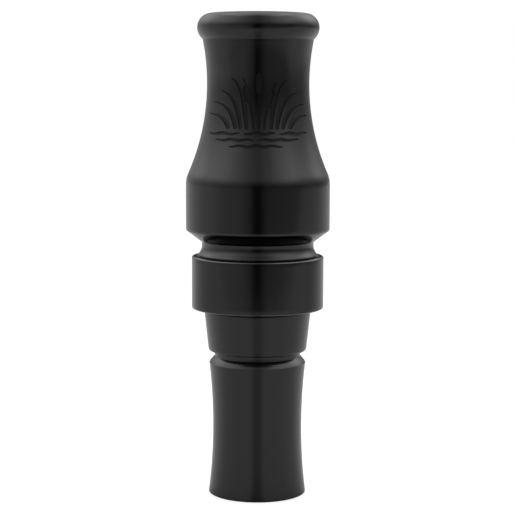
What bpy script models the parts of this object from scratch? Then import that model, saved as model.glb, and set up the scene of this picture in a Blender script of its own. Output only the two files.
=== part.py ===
"""A duck call, standing upright on its exhaust end.

The call is three turned pieces, one on top of another: the insert at the bottom, whose tenon
plugs into the barrel, and a metal band around the barrel's end. Inside, a tone board carries
two thin reeds, held by a wedge, and two O-rings seal the tenon in the barrel's bore.

The Z axis is the call's own axis, with its zero at the exhaust end. The reeds face -Y.
Profiles are lists of (radius, height) points, and run down the outer side of a piece.
"""

import math

import bmesh
import bpy

MM = 0.001

# Overall
CALL_HEIGHT = 127.4 * MM
SEGMENTS = 48  # sides of every turned piece; a multiple of 4, so that quarter turns match
GAP = 0.3 * MM  # left between neighbours that touch

# Barrel: lip, neck, bulge and cord groove
LIP_RADIUS = 16.0 * MM
LIP_MIDDLE = 123.8 * MM
LIP_TOP_ROUNDING = 3.6 * MM
LIP_UNDER_ROUNDING = 4.1 * MM
LIP_UNDER_ANGLE = 49.0
NECK_TOP = 120.4 * MM
NECK_RADIUS = 13.44 * MM
NECK_MIDDLE = 109.25 * MM
NECK_CURVE = 58.5 * MM
BULGE_RADIUS = 19.05 * MM
SHOULDER_CURVE = 8.0 * MM
BULGE_BOTTOM = 71.25 * MM
BULGE_ROUNDING = 1.6 * MM
BULGE_EDGE_ANGLE = 25.0
BARREL_GROOVE_RADIUS = 14.75 * MM
BARREL_GROOVE_HEIGHT = 66.75 * MM
BARREL_GROOVE_CURVE = 3.5 * MM
BORE_RADIUS = 8.73 * MM
MOUTH_RADIUS = 10.4 * MM
MOUTH_DEPTH = 13.0 * MM
MOUTH_ROUNDING = 0.9 * MM

# Band around the barrel's end
BAND_BOTTOM = 49.8 * MM
BAND_TOP = 63.75 * MM
BAND_RADIUS = 17.5 * MM
BAND_BEVEL = 0.5 * MM
BAND_SEAT_RADIUS = 15.75 * MM
BAND_SEAT_TOP = 64.05 * MM

# Insert: tenon, collar, cord groove and stem
TENON_TOP = 71.5 * MM
TENON_RADIUS = 8.5 * MM
COLLAR_TOP = BAND_BOTTOM - GAP
COLLAR_TOP_RADIUS = 14.22 * MM
COLLAR_BOTTOM = 38.35 * MM
COLLAR_BOTTOM_RADIUS = 13.0 * MM
COLLAR_ROUNDING = 0.9 * MM
INSERT_GROOVE_RADIUS = 11.4 * MM
INSERT_GROOVE_BOTTOM = 37.05 * MM
STEM_TOP_RADIUS = 12.52 * MM
STEM_TOP = 35.6 * MM
STEM_WAIST_RADIUS = 11.84 * MM
STEM_WAIST_HEIGHT = 18.3 * MM
STEM_CURVE = 146.0 * MM
EXHAUST_RADIUS = 5.2 * MM
BELL_RADIUS = 9.6 * MM
BELL_DEPTH = 26.0 * MM
SOCKET_RADIUS = 6.0 * MM
SOCKET_BOTTOM = 50.0 * MM

# O-rings on the tenon
SEAL_HEIGHTS = {"tenon_o_ring_front": 67.5 * MM, "tenon_o_ring_rear": 55.5 * MM}
SEAL_CORD_RADIUS = 0.8 * MM
SEAL_CLEARANCE = 0.06 * MM

# Tone board
PLUG_RADIUS = SOCKET_RADIUS - 0.1 * MM
PLUG_BOTTOM = SOCKET_BOTTOM + GAP
BOARD_RADIUS = 6.5 * MM
BOARD_BOTTOM = TENON_TOP + GAP
BOARD_TOP = 112.0 * MM
BOARD_TIP_RADIUS = 4.6 * MM
BOARD_TIP_LENGTH = 7.0 * MM
REED_BED = -0.6 * MM
RAMP_ANGLE = 1.9
CHANNEL_WIDTH = 3.6 * MM
CHANNEL_DEPTH = 3.8 * MM
CHANNEL_TOP = 106.5 * MM

# Reeds and the wedge that clamps them
REED_THICKNESS = 0.25 * MM
REED_WIDTH = 11.0 * MM
REED_BOTTOM = 58.5 * MM
REED_TOPS = {"reed_lower": 111.0 * MM, "reed_upper": 109.4 * MM}
REED_CORNER = 2.2 * MM
REED_AXIS_HEIGHT = 65.5 * MM
WEDGE_BOTTOM = REED_BOTTOM
WEDGE_TOP = TENON_TOP + 1.5 * MM


# Outlines


def arc(centre, radius, start, end, steps):
    """Points of an arc, from one angle to another in degrees, both counted from +X towards +Y."""
    points = []
    for step in range(steps + 1):
        angle = math.radians(start + (end - start) * step / steps)
        points.append((centre[0] + radius * math.cos(angle), centre[1] + radius * math.sin(angle)))
    return points


def waist(centre_radius, centre_height, curve, top, bottom, steps):
    """A hollow curve that is narrowest at centre_height, followed from one height down to another."""
    points = []
    for step in range(steps + 1):
        height = top + (bottom - top) * step / steps
        drop = curve - math.sqrt(curve**2 - (height - centre_height) ** 2)
        points.append((centre_radius + drop, height))
    return points


def lip_outline():
    """The rounded bead around the mouth, from its flat top to where it meets the neck."""
    top_centre = (LIP_RADIUS - LIP_TOP_ROUNDING, LIP_MIDDLE)
    under_centre = (LIP_RADIUS - LIP_UNDER_ROUNDING, LIP_MIDDLE)
    top = arc(top_centre, LIP_TOP_ROUNDING, 90, 0, 6)
    under = arc(under_centre, LIP_UNDER_ROUNDING, 0, -LIP_UNDER_ANGLE, 4)
    return top + under[1:]


def neck_outline():
    """The long hollow neck, and the shoulder that turns it into the bulge's straight side."""
    across = NECK_RADIUS + NECK_CURVE - (BULGE_RADIUS - SHOULDER_CURVE)
    between = NECK_CURVE + SHOULDER_CURVE
    rise = math.sqrt(between**2 - across**2)
    shoulder_centre = (BULGE_RADIUS - SHOULDER_CURVE, NECK_MIDDLE - rise)
    join_angle = math.degrees(math.atan2(rise, across))
    join_height = shoulder_centre[1] + SHOULDER_CURVE * math.sin(math.radians(join_angle))
    neck = waist(NECK_RADIUS, NECK_MIDDLE, NECK_CURVE, NECK_TOP, join_height, 12)
    shoulder = arc(shoulder_centre, SHOULDER_CURVE, join_angle, 0, 3)
    return neck + shoulder[1:]


def barrel_groove_outline():
    """The bulge's lower edge, its undercut, and the round groove down to the band's seat."""
    edge_centre = (BULGE_RADIUS - BULGE_ROUNDING, BULGE_BOTTOM)
    edge = arc(edge_centre, BULGE_ROUNDING, 0, -BULGE_EDGE_ANGLE, 2)
    groove_centre = (BARREL_GROOVE_RADIUS + BARREL_GROOVE_CURVE, BARREL_GROOVE_HEIGHT)
    groove_drop = BARREL_GROOVE_HEIGHT - BAND_SEAT_TOP
    groove_end = 180 + math.degrees(math.asin(groove_drop / BARREL_GROOVE_CURVE))
    groove = arc(groove_centre, BARREL_GROOVE_CURVE, 165, groove_end, 6)
    return edge + groove + [(BAND_SEAT_RADIUS, BAND_SEAT_TOP)]


def mouth_outline():
    """The bore's flared mouth, followed upwards from the straight bore to the lip's flat top."""
    flare = MOUTH_RADIUS - BORE_RADIUS
    curve = (MOUTH_DEPTH**2 + flare**2) / (2 * flare)
    start = CALL_HEIGHT - MOUTH_ROUNDING - MOUTH_DEPTH
    end = start + MOUTH_DEPTH
    bell = waist(BORE_RADIUS, start, curve, start, end, 5)
    rim_centre = (MOUTH_RADIUS + MOUTH_ROUNDING, end)
    rim = arc(rim_centre, MOUTH_ROUNDING, 180, 90, 3)
    return bell + rim[1:]


def barrel_outline():
    chamfer = 0.4 * MM
    foot = [
        (BAND_SEAT_RADIUS, BAND_BOTTOM + chamfer),
        (BAND_SEAT_RADIUS - chamfer, BAND_BOTTOM),
        (BORE_RADIUS + chamfer, BAND_BOTTOM),
        (BORE_RADIUS, BAND_BOTTOM + 2 * chamfer),
    ]
    return lip_outline() + neck_outline() + barrel_groove_outline() + foot + mouth_outline()


def band_outline():
    inner = BAND_SEAT_RADIUS + GAP
    edge = 0.2 * MM
    return [
        (inner + edge, BAND_TOP),
        (BAND_RADIUS - BAND_BEVEL, BAND_TOP),
        (BAND_RADIUS, BAND_TOP - BAND_BEVEL),
        (BAND_RADIUS, BAND_BOTTOM + BAND_BEVEL),
        (BAND_RADIUS - BAND_BEVEL, BAND_BOTTOM),
        (inner + edge, BAND_BOTTOM),
        (inner, BAND_BOTTOM + edge),
        (inner, BAND_TOP - edge),
    ]


def seal_ring_radius():
    """The O-ring's own radius, to the middle of its cord, which just clears the barrel's bore."""
    return BORE_RADIUS - SEAL_CLEARANCE - SEAL_CORD_RADIUS


def seal_groove(height):
    """A square groove around the tenon, at one O-ring's height."""
    half_width = SEAL_CORD_RADIUS + 0.15 * MM
    bottom = seal_ring_radius() - SEAL_CORD_RADIUS - SEAL_CLEARANCE
    return [
        (TENON_RADIUS, height + half_width),
        (bottom, height + half_width),
        (bottom, height - half_width),
        (TENON_RADIUS, height - half_width),
    ]


def tenon_outline():
    chamfer = 0.5 * MM
    points = [
        (SOCKET_RADIUS + 0.3 * MM, TENON_TOP),
        (TENON_RADIUS - chamfer, TENON_TOP),
        (TENON_RADIUS, TENON_TOP - chamfer),
    ]
    for height in sorted(SEAL_HEIGHTS.values(), reverse=True):
        points += seal_groove(height)
    points.append((TENON_RADIUS, COLLAR_TOP))
    return points


def collar_outline():
    """The tapered collar under the band, its rounded lower edge, and the cord groove below it."""
    chamfer = 0.25 * MM
    edge_centre = (COLLAR_BOTTOM_RADIUS - COLLAR_ROUNDING, COLLAR_BOTTOM + COLLAR_ROUNDING)
    edge = arc(edge_centre, COLLAR_ROUNDING, 0, -90, 6)
    groove = [(INSERT_GROOVE_RADIUS, COLLAR_BOTTOM), (INSERT_GROOVE_RADIUS, INSERT_GROOVE_BOTTOM)]
    top = [
        (COLLAR_TOP_RADIUS - chamfer, COLLAR_TOP),
        (COLLAR_TOP_RADIUS, COLLAR_TOP - chamfer),
    ]
    return top + edge + groove


def exhaust_outline():
    """The exhaust bore from its bell mouth up to the socket for the tone board."""
    flare = BELL_RADIUS - EXHAUST_RADIUS
    curve = (BELL_DEPTH**2 + flare**2) / (2 * flare)
    rim = 0.3 * MM
    points = [(BELL_RADIUS + rim, 0.0)]
    points += waist(EXHAUST_RADIUS, BELL_DEPTH + rim, curve, rim, BELL_DEPTH + rim, 6)
    points += [
        (EXHAUST_RADIUS, SOCKET_BOTTOM),
        (SOCKET_RADIUS, SOCKET_BOTTOM),
        (SOCKET_RADIUS, TENON_TOP - 0.3 * MM),
    ]
    return points


def insert_outline():
    """The insert's whole outline; the stem is one long hollow curve with broken edges."""
    edge = 0.15 * MM
    stem = waist(STEM_WAIST_RADIUS, STEM_WAIST_HEIGHT, STEM_CURVE, STEM_TOP, edge, 8)
    shoulder = [(STEM_TOP_RADIUS - edge, STEM_TOP + edge)]
    foot = [(stem[-1][0] - edge, 0.0)]
    return tenon_outline() + collar_outline() + shoulder + stem + foot + exhaust_outline()


def board_outline():
    """The tone board before it is cut, from its nose down: a board, a step and a plug."""
    nose = BOARD_RADIUS - BOARD_TIP_RADIUS
    curve = (BOARD_TIP_LENGTH**2 + nose**2) / (2 * nose)
    turn_of_nose = math.degrees(math.asin(BOARD_TIP_LENGTH / curve))
    nose_centre = (BOARD_RADIUS - curve, BOARD_TOP - BOARD_TIP_LENGTH)
    points = [(0.0, BOARD_TOP)]
    points += arc(nose_centre, curve, turn_of_nose, 0, 4)
    points += [
        (BOARD_RADIUS, BOARD_BOTTOM),
        (PLUG_RADIUS, BOARD_BOTTOM),
        (PLUG_RADIUS, PLUG_BOTTOM + 0.5 * MM),
        (PLUG_RADIUS - 0.5 * MM, PLUG_BOTTOM),
        (0.0, PLUG_BOTTOM),
    ]
    return points


# Materials


def material(name, colour, roughness, metallic=0.0):
    """A Principled BSDF with one colour, roughness and metallic value."""
    made = bpy.data.materials.new(name)
    made.use_nodes = True
    made.diffuse_color = (*colour, 1.0)
    shader = made.node_tree.nodes["Principled BSDF"]
    shader.inputs["Base Color"].default_value = (*colour, 1.0)
    shader.inputs["Roughness"].default_value = roughness
    shader.inputs["Metallic"].default_value = metallic
    return made


def turned_plastic(name):
    return material(name, (0.013, 0.013, 0.014), 0.38)


def black_anodised():
    return material("black_anodised", (0.02, 0.02, 0.022), 0.3, 1.0)


def moulded_grey():
    return material("moulded_grey", (0.16, 0.17, 0.18), 0.35)


def reed_film():
    return material("reed_film", (0.78, 0.8, 0.78), 0.25)


def cork():
    return material("cork", (0.42, 0.27, 0.14), 0.85)


def seal_rubber():
    return material("seal_rubber", (0.01, 0.01, 0.01), 0.6)


# Solids


def place(obj, collection, parent=None):
    """Moves an object into one collection, and keeps its world place under a parent."""
    for holder in list(obj.users_collection):
        holder.objects.unlink(obj)
    collection.objects.link(obj)
    if parent:
        obj.parent = parent
        obj.matrix_parent_inverse = parent.matrix_world.inverted()
    return obj


def finish(obj, shade):
    """Gives a mesh its material and smooth shading that stops at sharp edges."""
    obj.data.materials.append(shade)
    obj.data.shade_smooth()
    obj.data.set_sharp_from_angle(angle=math.radians(30))
    return obj


def turn(name, profile, shade, closed=True):
    """Spins a profile around the Z axis. A closed profile makes a hollow piece."""
    mesh = bmesh.new()
    verts = [mesh.verts.new((radius, 0.0, height)) for radius, height in profile]
    for first, second in zip(verts, verts[1:]):
        mesh.edges.new((first, second))
    if closed:
        mesh.edges.new((verts[-1], verts[0]))
    data = bpy.data.meshes.new(name)
    mesh.to_mesh(data)
    mesh.free()
    obj = bpy.data.objects.new(name, data)
    data.materials.append(shade)
    screw = obj.modifiers.new("turn", "SCREW")
    screw.axis = "Z"
    screw.angle = math.tau
    screw.steps = SEGMENTS
    screw.render_steps = SEGMENTS
    screw.use_merge_vertices = True
    screw.merge_threshold = 0.000001
    screw.use_smooth_shade = True
    return obj


def extrude_outline(name, points, thickness, rotation=(0.0, 0.0, 0.0), location=(0.0, 0.0, 0.0)):
    """A flat outline given a thickness, as a closed mesh centred on the outline's own plane."""
    curve = bpy.data.curves.new(name, "CURVE")
    curve.dimensions = "2D"
    curve.fill_mode = "BOTH"
    curve.extrude = thickness / 2
    spline = curve.splines.new("POLY")
    spline.points.add(len(points) - 1)
    for point, (x, y) in zip(spline.points, points):
        point.co = (x, y, 0.0, 1.0)
    spline.use_cyclic_u = True
    outline = bpy.data.objects.new(name + "_outline", curve)
    bpy.context.scene.collection.objects.link(outline)
    bpy.context.view_layer.update()
    graph = bpy.context.evaluated_depsgraph_get()
    data = bpy.data.meshes.new_from_object(outline.evaluated_get(graph))
    data.name = name
    bpy.data.objects.remove(outline)
    welded = bmesh.new()
    welded.from_mesh(data)
    bmesh.ops.remove_doubles(welded, verts=welded.verts, dist=0.000001)
    bmesh.ops.recalc_face_normals(welded, faces=welded.faces)
    welded.to_mesh(data)
    welded.free()
    obj = bpy.data.objects.new(name, data)
    obj.rotation_euler = rotation
    obj.location = location
    return obj


def cut(obj, cutter):
    """Takes one solid away from another with a live modifier."""
    boolean = obj.modifiers.new("cut_" + cutter.name, "BOOLEAN")
    boolean.operation = "DIFFERENCE"
    boolean.solver = "EXACT"
    boolean.object = cutter


def hide_cutter(obj, cutters):
    obj.hide_render = True
    obj.display_type = "WIRE"
    return place(obj, cutters)


# The call's pieces


def make_seal(name, height, shade):
    bpy.ops.mesh.primitive_torus_add(
        major_segments=SEGMENTS,
        minor_segments=8,
        major_radius=seal_ring_radius(),
        minor_radius=SEAL_CORD_RADIUS,
        location=(0.0, 0.0, height),
    )
    obj = bpy.context.object
    obj.name = name
    return finish(obj, shade)


def front_cutter():
    """Takes the reeds' side off the tone board: flat in the clamp, then a ramp down to the tip."""
    over = 1.0 * MM
    front = -BOARD_RADIUS - over
    top = BOARD_TOP + over
    drop = (top - BOARD_BOTTOM) * math.tan(math.radians(RAMP_ANGLE))
    side = [
        (front, PLUG_BOTTOM - over),
        (REED_BED, PLUG_BOTTOM - over),
        (REED_BED, BOARD_BOTTOM),
        (REED_BED + drop, top),
        (front, top),
    ]
    upright = (math.radians(90), 0.0, math.radians(90))
    return extrude_outline("board_front_cutter", side, 2 * BOARD_RADIUS + 2 * over, upright)


def channel_cutter():
    """The tone channel: a round-bottomed groove from the exhaust nearly up to the reeds' tips."""
    half = CHANNEL_WIDTH / 2
    over = 1.0 * MM
    bottom = REED_BED + CHANNEL_DEPTH - half
    section = arc((0.0, bottom), half, 0, 180, 8)
    section += [(-half, -BOARD_RADIUS - over), (half, -BOARD_RADIUS - over)]
    length = CHANNEL_TOP - PLUG_BOTTOM + over
    middle = (0.0, 0.0, CHANNEL_TOP - length / 2)
    return extrude_outline("board_channel_cutter", section, length, location=middle)


def make_tone_board(shade, cutters):
    board = turn("tone_board", board_outline(), shade, closed=False)
    for cutter in (front_cutter(), channel_cutter()):
        cut(board, hide_cutter(cutter, cutters))
    return board


def reed_plane(index):
    """The Y of a reed's middle, counted from the board: 0 for the lower reed, 1 for the upper."""
    step = GAP + REED_THICKNESS
    return REED_BED - GAP - REED_THICKNESS / 2 - index * step


def make_reed(name, index, shade):
    """A strip of film with its tip corners clipped, whose origin is on its flexing axis."""
    half = REED_WIDTH / 2
    bottom = REED_BOTTOM - REED_AXIS_HEIGHT
    top = REED_TOPS[name] - REED_AXIS_HEIGHT
    outline = [
        (-half, bottom),
        (half, bottom),
        (half, top - REED_CORNER),
        (half - REED_CORNER, top),
        (REED_CORNER - half, top),
        (-half, top - REED_CORNER),
    ]
    upright = (math.radians(90), 0.0, 0.0)
    place_at = (0.0, reed_plane(index), REED_AXIS_HEIGHT)
    return finish(extrude_outline(name, outline, REED_THICKNESS, upright, place_at), shade)


def make_wedge(shade):
    """The rest of the socket's circle, in front of the reeds."""
    face = reed_plane(1) - REED_THICKNESS / 2 - GAP
    reach = math.degrees(math.acos(-face / PLUG_RADIUS))
    section = arc((0.0, 0.0), PLUG_RADIUS, 270 - reach, 270 + reach, 14)
    middle = (0.0, 0.0, (WEDGE_BOTTOM + WEDGE_TOP) / 2)
    obj = extrude_outline("wedge", section, WEDGE_TOP - WEDGE_BOTTOM, location=middle)
    return finish(obj, shade)


def make_joint_empty(name, height, parts):
    """An empty on the call's axis that the pieces of one moving group hang from."""
    empty = bpy.data.objects.new(name, None)
    empty.empty_display_size = 10 * MM
    empty.location = (0.0, 0.0, height)
    parts.objects.link(empty)
    bpy.context.view_layer.update()
    return empty


def clear_scene():
    for obj in list(bpy.data.objects):
        bpy.data.objects.remove(obj)


def build():
    clear_scene()
    parts = bpy.data.collections.new("duck_call")
    cutters = bpy.data.collections.new("cutters")
    bpy.context.scene.collection.children.link(parts)
    bpy.context.scene.collection.children.link(cutters)
    barrel_slide = make_joint_empty("barrel_slide", BAND_BOTTOM, parts)
    guts_slide = make_joint_empty("guts_slide", BOARD_BOTTOM, parts)

    place(turn("insert_stem", insert_outline(), turned_plastic("insert_plastic")), parts)
    rubber = seal_rubber()
    for name, height in SEAL_HEIGHTS.items():
        place(make_seal(name, height, rubber), parts)

    place(turn("barrel", barrel_outline(), turned_plastic("barrel_plastic")), parts, barrel_slide)
    place(turn("barrel_band", band_outline(), black_anodised()), parts, barrel_slide)

    place(make_tone_board(moulded_grey(), cutters), parts, guts_slide)
    place(make_wedge(cork()), parts, guts_slide)
    film = reed_film()
    for index, name in enumerate(REED_TOPS):
        place(make_reed(name, index, film), parts, guts_slide)


build()
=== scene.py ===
# %% [markdown]
# # A black duck call, piece by piece
# The call is a stack of turned pieces: an insert whose tenon plugs into a barrel, and a metal
# band that keeps the barrel's end from splitting. A tone board with two film reeds sits inside.
#
# The solid model, loaded first, gives every place and size. Each solid could keep its mesh and
# only get a better material. But its rounds have few sides, which would show in a glossy black
# reflection, so each one is modelled again here, finely, in the very same place.

# %% Load the frame
import math

import bmesh
import bpy
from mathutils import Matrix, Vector


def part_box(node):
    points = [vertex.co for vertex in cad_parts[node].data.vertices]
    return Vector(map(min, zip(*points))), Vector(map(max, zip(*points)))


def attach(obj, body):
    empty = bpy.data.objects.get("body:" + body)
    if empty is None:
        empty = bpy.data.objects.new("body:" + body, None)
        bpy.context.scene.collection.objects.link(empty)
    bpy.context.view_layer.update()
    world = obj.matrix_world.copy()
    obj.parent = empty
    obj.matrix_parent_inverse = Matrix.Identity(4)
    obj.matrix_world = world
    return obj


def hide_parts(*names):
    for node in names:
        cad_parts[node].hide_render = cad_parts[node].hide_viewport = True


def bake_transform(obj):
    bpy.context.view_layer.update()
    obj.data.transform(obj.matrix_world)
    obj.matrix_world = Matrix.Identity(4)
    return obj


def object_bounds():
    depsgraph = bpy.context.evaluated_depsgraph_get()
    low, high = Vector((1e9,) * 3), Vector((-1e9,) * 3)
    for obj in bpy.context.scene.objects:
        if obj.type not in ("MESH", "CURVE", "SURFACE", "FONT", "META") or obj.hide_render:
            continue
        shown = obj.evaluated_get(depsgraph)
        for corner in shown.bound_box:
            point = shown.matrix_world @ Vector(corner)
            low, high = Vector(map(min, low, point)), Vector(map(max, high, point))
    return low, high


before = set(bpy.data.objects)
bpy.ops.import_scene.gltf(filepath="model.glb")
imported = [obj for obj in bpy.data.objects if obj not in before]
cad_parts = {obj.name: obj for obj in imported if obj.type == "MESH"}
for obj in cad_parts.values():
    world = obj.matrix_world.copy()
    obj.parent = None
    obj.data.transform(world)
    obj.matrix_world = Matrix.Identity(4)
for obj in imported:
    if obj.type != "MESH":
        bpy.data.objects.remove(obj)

MM = 0.001
cad_low, cad_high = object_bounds()
call_height = cad_high.z / MM

# %% [markdown]
# ## The camera
# A long lens, level with the neck, looking a little down. The camera is tilted rather than
# shifted, so that a view from any other side is framed the same way. The distance is what makes
# the band's rim look like a flat ellipse near eye level and the foot a rounder one far below it.
# Distances are in millimetres here, and angles in degrees.

# %% Camera
CAMERA_DISTANCE = 411.5
CAMERA_HEIGHT = 107.2
CAMERA_TILT = 6.1
CAMERA_ROLL = 0.17
CAMERA_SIDE = -0.18
LENS = 108.84
SENSOR_WIDTH = 36.0
NEAREST_SEEN = 10.0

bpy.ops.object.select_all(action="DESELECT")
bpy.ops.object.camera_add(
    location=(CAMERA_SIDE * MM, -CAMERA_DISTANCE * MM, CAMERA_HEIGHT * MM),
    rotation=(math.radians(90 - CAMERA_TILT), math.radians(-CAMERA_ROLL), 0.0),
)
camera = bpy.context.object
camera.data.lens = LENS
camera.data.sensor_width = SENSOR_WIDTH
camera.data.clip_start = NEAREST_SEEN * MM
bpy.context.scene.camera = camera
print("Camera at", [round(value, 4) for value in camera.location])

# %% [markdown]
# ## The studio
# Black plastic has almost no colour of its own: what is seen of it is the room it mirrors. So
# the room is painted for its reflections: a narrow dark gap straight in front draws the dark
# line down the middle, broad soft light high on both sides draws the sheen, and the left side is
# kept brighter than the right, so that the round shape reads.
#
# The room is a world shader. Area lights could do the same, but their hard edges would show in
# every glossy ring, and a painted room fades as softly as one likes. A small class first lets
# the sockets of nodes be added and multiplied like numbers, so that a sum reads as a sum.

# %% A class that does sums with sockets
class Wire:
    """One output of a node. Python's own signs on it add Math nodes."""

    def __init__(self, finish, socket):
        self.finish = finish
        self.socket = socket

    def math(self, operation, first, second=0.0):
        settings = {"operation": operation}
        return self.finish.node("ShaderNodeMath", settings, {0: first, 1: second})

    def __add__(self, other):
        return self.math("ADD", self, other)

    def __radd__(self, other):
        return self.math("ADD", other, self)

    def __sub__(self, other):
        return self.math("SUBTRACT", self, other)

    def __rsub__(self, other):
        return self.math("SUBTRACT", other, self)

    def __mul__(self, other):
        return self.math("MULTIPLY", self, other)

    def __truediv__(self, other):
        return self.math("DIVIDE", self, other)


class Finish:
    """A node tree, and the one method that adds nodes to it."""

    def __init__(self, owner):
        owner.use_nodes = True
        self.owner = owner
        self.tree = owner.node_tree

    def node(self, kind, settings=None, sockets=None, output=0):
        """Adds a node: its settings first, then the values or links of its sockets."""
        made = self.tree.nodes.new(kind)
        for name, value in (settings or {}).items():
            if name == "stops":
                self.set_stops(made.color_ramp, value)
            else:
                setattr(made, name, value)
        for name, value in (sockets or {}).items():
            self.feed(made.inputs[name], value)
        return Wire(self, made.outputs[output])

    def feed(self, socket, value):
        """Links a wire to a socket, or sets the socket's own value."""
        if isinstance(value, Wire):
            self.tree.links.new(value.socket, socket)
        else:
            socket.default_value = value

    def set_stops(self, ramp, stops):
        """Gives a colour ramp its stops, each a place and a grey level or a colour."""
        while len(ramp.elements) > 1:
            ramp.elements.remove(ramp.elements[-1])
        for index, (place, colour) in enumerate(stops):
            stop = ramp.elements[0] if index == 0 else ramp.elements.new(place)
            stop.position = place
            stop.color = colour if isinstance(colour, tuple) else (colour, colour, colour, 1.0)


def ramp(finish, value, *stops):
    return finish.node("ShaderNodeValToRGB", {"stops": stops}, {"Fac": value})


def axis(finish, vector, name):
    """One of a vector's three numbers: X, Y or Z."""
    return finish.node("ShaderNodeSeparateXYZ", sockets={"Vector": vector}, output=name)


def soft_rise(finish, value, start, end, kind="SMOOTHSTEP"):
    """0 up to the start, 1 from the end on, and a rise between them, eased unless LINEAR."""
    sockets = {"Value": value, "From Min": start, "From Max": end}
    return finish.node("ShaderNodeMapRange", {"interpolation_type": kind}, sockets)


# %% [markdown]
# ### The white room
# Two strips of brightness are laid around the room, one near eye level and one high up, and the
# room fades from one to the other with height. A place along a strip is 0 at the far left, 0.5
# straight ahead or behind, and 1 at the far right. Three small corrections shape them:
#
# - Steep softening: straight up, left and right lie close together. It pulls such directions
#   towards the middle of a strip, so that the pattern has no spike there.
# - Eye level dimming: from the horizon up the low strip gets darker, for the upper rings, which
#   mirror that part. The stem mirrors the table instead.
# - Back lift: the room is brighter behind the call, which draws its outer edges.

# %% Paint the room
LOW_STRIP = (
    (0.0, 0.85), (0.08, 0.56), (0.25, 0.48), (0.38, 0.27), (0.46, 0.03),
    (0.53, 0.03), (0.6, 0.2), (0.68, 0.27), (0.96, 0.31), (1.0, 0.48),
)
HIGH_STRIP = (
    (0.0, 1.9), (0.08, 1.6), (0.18, 1.1), (0.32, 0.72), (0.5, 0.42),
    (0.68, 0.74), (0.84, 1.4), (0.94, 1.75), (1.0, 1.4),
)
HIGH_SPAN = (0.05, 0.6)
STEEP_SOFTENING = 0.42
EYE_LEVEL_DIMMING = 0.3
EYE_LEVEL_SPAN = (-0.06, 0.03)
BACK_LIFT = 0.5
BACK_SPAN = (0.1, 0.7)


def paint_room():
    """How bright the room is in each direction, and plain white where the camera sees it."""
    room = bpy.data.worlds.new("white_room")
    bpy.context.scene.world = room
    finish = Finish(room)
    direction = finish.node("ShaderNodeTexCoord", output="Generated")
    to_side = axis(finish, direction, "X")
    to_back = axis(finish, direction, "Y")
    to_top = axis(finish, direction, "Z")
    squares = to_side * to_side + to_back * to_back
    level = squares.math("SQRT", squares)
    turned = to_side / (level + STEEP_SOFTENING)
    across = turned * (0.5 + 0.5 * STEEP_SOFTENING) + 0.5
    low = ramp(finish, across, *LOW_STRIP)
    high = ramp(finish, across, *HIGH_STRIP)
    rise = soft_rise(finish, to_top, *HIGH_SPAN)
    behind = soft_rise(finish, to_back, *BACK_SPAN)
    above = soft_rise(finish, to_top, *EYE_LEVEL_SPAN, "LINEAR")
    dimmed = low * (1.0 - above * EYE_LEVEL_DIMMING)
    glow = (dimmed + (high - dimmed) * rise) * (1.0 + behind * BACK_LIFT)
    lit = finish.node("ShaderNodeBackground", sockets={"Color": glow, "Strength": 1.0})
    seen = finish.node("ShaderNodeBackground", sockets={"Color": (1, 1, 1, 1), "Strength": 1.0})
    ray = finish.node("ShaderNodeLightPath", output="Is Camera Ray")
    mixed = finish.node("ShaderNodeMixShader", sockets={0: ray, 1: lit, 2: seen})
    finish.feed(finish.tree.nodes["World Output"].inputs["Surface"], mixed)


paint_room()
bpy.context.scene.view_settings.view_transform = "Standard"

# %% [markdown]
# One real light hangs high behind the call. It gives the rings a soft glint from above.

# %% Top softbox
def add_softbox(name, rise_angle, distance, width, depth, radiance):
    """An area light above and behind the call, aimed at its middle."""
    rise = math.radians(rise_angle)
    aim = Vector((0.0, 0.0, call_height * MM / 2))
    outward = Vector((0.0, math.cos(rise), math.sin(rise)))
    bpy.ops.object.light_add(type="AREA", location=aim + outward * distance)
    box = bpy.context.object
    box.name = name
    box.rotation_mode = "QUATERNION"
    box.rotation_quaternion = outward.to_track_quat("Z", "Y")
    box.data.shape = "RECTANGLE"
    box.data.size = width
    box.data.size_y = depth
    box.data.energy = radiance * math.pi * width * depth
    box.visible_camera = False


bpy.ops.object.select_all(action="DESELECT")
add_softbox("softbox_top", rise_angle=75, distance=1.0, width=0.9, depth=0.7, radiance=1.0)

# %% [markdown]
# ## The floor
# A white table with a faint gloss. Its front edge is not far from the call: beyond it the room
# is dim, which keeps the upper rings of the call darker than its stem. The table itself is a
# mid grey, so that the stem doesn't mirror too much of it, and a glow that only the camera sees
# lifts it to the white of the room.
#
# A grey card of painted shade lies on the table in front of the call. It shows only in
# reflections, where it carries the dark line on downwards. It is darkest near the call, as painted
# shade of the call on the table, fades into the table's grey to both sides, and gets darker again
# towards the table's front edge, which would otherwise stand out in the neck. Card and table are
# both staging. Lengths are in metres here.

# %% Floor
TABLE_FRONT = -0.36
TABLE_SIZE = 3.0
TABLE_GREY = 0.6
TABLE_GLOW = 0.62
CARD_WIDTH = 1.4
CARD_LIFT = 0.0004
SHADE_GREY_NEAR_CALL = 0.24
CARD_GREY_RISE = 0.14
GREY_RISE_SPAN = (0.05, 0.13)
SIDE_FADE_SPAN = (0.08, 0.3)
FRONT_FADE_SPAN = (0.16, -TABLE_FRONT)
FRONT_FADE = 0.45


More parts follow.
